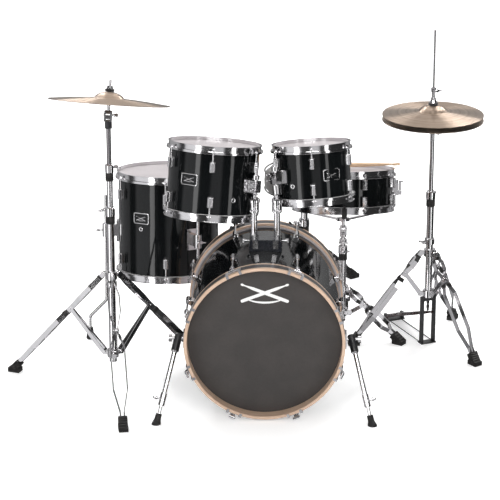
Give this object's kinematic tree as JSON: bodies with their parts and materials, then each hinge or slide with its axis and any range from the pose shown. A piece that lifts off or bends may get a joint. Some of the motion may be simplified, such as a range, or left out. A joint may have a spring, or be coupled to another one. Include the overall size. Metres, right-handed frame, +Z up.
{
  "type": "acoustic drum kit",
  "caption": "Acoustic drum kit with bass drum, rack toms, floor tom, snare, crash cymbal, hi-hat, pedals and throne on folding chrome stands.",
  "frame": {"origin": "on the floor, under the middle of the whole kit", "axes": "+X to the right as the audience sees it, +Y from the audience to the drummer, +Z up"},
  "size_m": [1.6672, 1.5725, 1.157],
  "materials": {
    "black_wrap": "gloss",
    "maple_hoop": "satin",
    "chrome": "polished",
    "drum_head": "satin",
    "bronze": "satin",
    "black_metal": "satin",
    "seat_vinyl": "satin",
    "stick_wood": "satin"
  },
  "bodies": {
    "kit": {"bass_shell": "black_wrap", "bass_hoops": "maple_hoop", "bass_heads": "drum_head", "bass_lugs": "chrome", "tom_holder": "black_metal", "spur_brackets": "chrome", "floor_tom_shell": "black_wrap", "floor_tom_hoops": "chrome", "floor_tom_heads": "drum_head", "floor_tom_lugs": "chrome", "snare_stand_tripod": "chrome", "crash_base": "chrome", "hat_tripod": "chrome", "hat_pedal_frame": "black_metal", "throne_tripod": "chrome", "bass_pedal_frame": "black_metal"},
    "left_post": {"left_tom_post": "chrome"},
    "left_tom": {"left_tom_shell": "black_wrap", "left_tom_hoops": "chrome", "left_tom_heads": "drum_head", "left_tom_lugs": "chrome"},
    "left_spur": {"left_spur": "chrome"},
    "right_post": {"right_tom_post": "chrome"},
    "right_tom": {"right_tom_shell": "black_wrap", "right_tom_hoops": "chrome", "right_tom_heads": "drum_head", "right_tom_lugs": "chrome"},
    "right_spur": {"right_spur": "chrome"},
    "floor_leg_left": {"floor_tom_left_leg": "chrome"},
    "floor_leg_front": {"floor_tom_front_leg": "chrome"},
    "floor_leg_back": {"floor_tom_back_leg": "chrome"},
    "snare_post": {"snare_stand_post": "chrome"},
    "basket": {"snare_basket": "chrome"},
    "snare": {"snare_shell": "black_wrap", "snare_hoops": "chrome", "snare_heads": "drum_head", "snare_lugs": "chrome", "snare_strainer": "chrome"},
    "sticks": {"drumsticks": "stick_wood"},
    "throw_off": {"snare_throw_off": "chrome"},
    "crash_middle": {"crash_middle_tube": "chrome"},
    "crash_upper": {"crash_upper_tube": "chrome"},
    "tilter": {"crash_tilter": "chrome"},
    "crash": {"crash_cymbal": "bronze"},
    "crash_collar": {"crash_collar": "chrome"},
    "crash_leg_1": {"crash_leg_1": "chrome"},
    "crash_brace_1": {"crash_brace_1": "chrome"},
    "crash_leg_2": {"crash_leg_2": "chrome"},
    "crash_brace_2": {"crash_brace_2": "chrome"},
    "crash_leg_3": {"crash_leg_3": "chrome"},
    "crash_brace_3": {"crash_brace_3": "chrome"},
    "hat_upper": {"hat_upper_tube": "chrome", "bottom_hat_cymbal": "bronze"},
    "hat_rod": {"hat_pull_rod": "chrome"},
    "hat_top": {"top_hat_cymbal": "bronze"},
    "hat_board": {"hat_footboard": "black_metal"},
    "throne_post": {"throne_post": "chrome"},
    "seat": {"throne_seat": "seat_vinyl"},
    "beater": {"bass_beater": "chrome"},
    "bass_board": {"bass_footboard": "black_metal"}
  },
  "joints": [
    {"name": "left_tom_height", "type": "slide", "parent": "kit", "child": "left_post", "axis": [0, 0, 1], "range_m": [-0.015, 0.06]},
    {"name": "left_tom_tilt", "type": "hinge", "parent": "left_post", "child": "left_tom", "pos_m": [0.0334, -0.4307, 0.688], "axis": [1, 0, 0], "range_deg": [-5, 12]},
    {"name": "right_tom_height", "type": "slide", "parent": "kit", "child": "right_post", "axis": [0, 0, 1], "range_m": [-0.015, 0.06]},
    {"name": "right_tom_tilt", "type": "hinge", "parent": "right_post", "child": "right_tom", "pos_m": [0.1094, -0.4307, 0.688], "axis": [1, 0, 0], "range_deg": [-5, 12]},
    {"name": "left_spur_fold", "type": "hinge", "parent": "kit", "child": "left_spur", "pos_m": [-0.2186, -0.5677, 0.25], "axis": [1, 0, 0], "range_deg": [0, 100]},
    {"name": "right_spur_fold", "type": "hinge", "parent": "kit", "child": "right_spur", "pos_m": [0.3614, -0.5677, 0.25], "axis": [1, 0, 0], "range_deg": [0, 100]},
    {"name": "floor_tom_left_leg_slide", "type": "slide", "parent": "kit", "child": "floor_leg_left", "axis": [0, 0.1219, 0.9925], "range_m": [-0.1, 0.1]},
    {"name": "floor_tom_front_leg_slide", "type": "slide", "parent": "kit", "child": "floor_leg_front", "axis": [0, 0.1219, 0.9925], "range_m": [-0.045, 0.1]},
    {"name": "floor_tom_back_leg_slide", "type": "slide", "parent": "kit", "child": "floor_leg_back", "axis": [0, 0.1219, 0.9925], "range_m": [-0.1, 0.1]},
    {"name": "snare_stand_height", "type": "slide", "parent": "kit", "child": "snare_post", "axis": [0, 0, 1], "range_m": [-0.0115, 0.12]},
    {"name": "basket_tilt", "type": "hinge", "parent": "snare_post", "child": "basket", "pos_m": [0.3454, 0.1743, 0.392], "axis": [1, 0, 0], "range_deg": [-10, 12]},
    {"name": "snare_lift", "type": "slide", "parent": "basket", "child": "snare", "axis": [0, 0.2079, 0.9781], "range_m": [0, 0.15]},
    {"name": "sticks_lift", "type": "slide", "parent": "snare", "child": "sticks", "axis": [0, 0.2079, 0.9781], "range_m": [0, 0.2]},
    {"name": "throw_off_turn", "type": "hinge", "parent": "snare", "child": "throw_off", "pos_m": [0.5484, 0.19394, 0.52563], "axis": [0, 0.9781, -0.2079], "range_deg": [0, 60]},
    {"name": "crash_middle_slide", "type": "slide", "parent": "kit", "child": "crash_middle", "axis": [0, 0, 1], "range_m": [-0.05, 0.25]},
    {"name": "crash_upper_slide", "type": "slide", "parent": "crash_middle", "child": "crash_upper", "axis": [0, 0, 1], "range_m": [-0.03, 0.18]},
    {"name": "crash_tilt", "type": "hinge", "parent": "crash_upper", "child": "tilter", "pos_m": [-0.4516, -0.3857, 0.97], "axis": [0.9976, 0, -0.0698], "range_deg": [-30, 25]},
    {"name": "crash_spin", "type": "hinge", "parent": "tilter", "child": "crash", "pos_m": [-0.4516, -0.3857, 0.97], "axis": [0.068, 0.225, 0.972], "continuous": true},
    {"name": "crash_brace_1_fold", "type": "hinge", "parent": "kit", "child": "crash_brace_1", "pos_m": [-0.47961, -0.37495, 0.125], "axis": [0.3584, 0.9336, 0], "range_deg": [0, 34]},
    {"name": "crash_leg_1_fold", "type": "hinge", "parent": "crash_brace_1", "child": "crash_leg_1", "pos_m": [-0.59845, -0.32933, 0.266], "axis": [0.3584, 0.9336, 0], "range_deg": [-68, 0]},
    {"name": "crash_brace_2_fold", "type": "hinge", "parent": "kit", "child": "crash_brace_2", "pos_m": [-0.44691, -0.41533, 0.125], "axis": [-0.9877, -0.1564, 0], "range_deg": [0, 34]},
    {"name": "crash_leg_2_fold", "type": "hinge", "parent": "crash_brace_2", "child": "crash_leg_2", "pos_m": [-0.42699, -0.54106, 0.266], "axis": [-0.9877, -0.1564, 0], "range_deg": [-68, 0]},
    {"name": "crash_brace_3_fold", "type": "hinge", "parent": "kit", "child": "crash_brace_3", "pos_m": [-0.42829, -0.36682, 0.125], "axis": [0.6293, -0.7771, 0], "range_deg": [0, 34]},
    {"name": "crash_leg_3_fold", "type": "hinge", "parent": "crash_brace_3", "child": "crash_leg_3", "pos_m": [-0.32936, -0.28671, 0.266], "axis": [0.6293, -0.7771, 0], "range_deg": [-68, 0]},
    {"name": "crash_collar_slide", "type": "slide", "parent": "kit", "child": "crash_collar", "axis": [0, 0, 1], "range_m": [0, 0.09436]},
    {"name": "hat_height", "type": "slide", "parent": "kit", "child": "hat_upper", "axis": [0, 0, 1], "range_m": [-0.05, 0.1]},
    {"name": "hat_pull", "type": "slide", "parent": "kit", "child": "hat_rod", "axis": [0, 0, 1], "range_m": [-0.0165, 0], "stiffness_N_per_m": 800, "springref_m": 0.0295},
    {"name": "clutch_slide", "type": "slide", "parent": "hat_rod", "child": "hat_top", "axis": [0, 0, 1], "range_m": [-0.05, 0.1]},
    {"name": "hat_board_turn", "type": "hinge", "parent": "kit", "child": "hat_board", "pos_m": [0.54199, 0.29292, 0.018], "axis": [-0.9063, -0.4226, 0], "range_deg": [-3.8, 0]},
    {"name": "throne_height", "type": "slide", "parent": "kit", "child": "throne_post", "axis": [0, 0, 1], "range_m": [0, 0.12]},
    {"name": "throne_spin", "type": "hinge", "parent": "throne_post", "child": "seat", "pos_m": [0.2064, 0.6123, 0.402], "axis": [0, 0, 1], "continuous": true},
    {"name": "beater_swing", "type": "hinge", "parent": "kit", "child": "beater", "pos_m": [0.0714, -0.1277, 0.165], "axis": [1, 0, 0], "range_deg": [0, 50], "stiffness_Nm_per_rad": 0.9, "springref_deg": -20.05},
    {"name": "bass_board_turn", "type": "hinge", "parent": "kit", "child": "bass_board", "pos_m": [0.0714, 0.0403, 0.018], "axis": [1, 0, 0], "range_deg": [0, 7.3]}
  ],
  "couplings": [
    {"joint": "crash_leg_1_fold", "follows": "crash_brace_1_fold", "ratio": -2},
    {"joint": "crash_brace_2_fold", "follows": "crash_brace_1_fold", "ratio": 1},
    {"joint": "crash_leg_2_fold", "follows": "crash_brace_1_fold", "ratio": -2},
    {"joint": "crash_brace_3_fold", "follows": "crash_brace_1_fold", "ratio": 1},
    {"joint": "crash_leg_3_fold", "follows": "crash_brace_1_fold", "ratio": -2},
    {"joint": "crash_collar_slide", "follows": "crash_brace_1_fold", "m_per_rad": 0.15867},
    {"joint": "clutch_slide", "follows": "hat_height", "ratio": 1},
    {"joint": "hat_board_turn", "follows": "hat_pull", "rad_per_m": 3.8628},
    {"joint": "bass_board_turn", "follows": "beater_swing", "ratio": 0.14286}
  ]
}
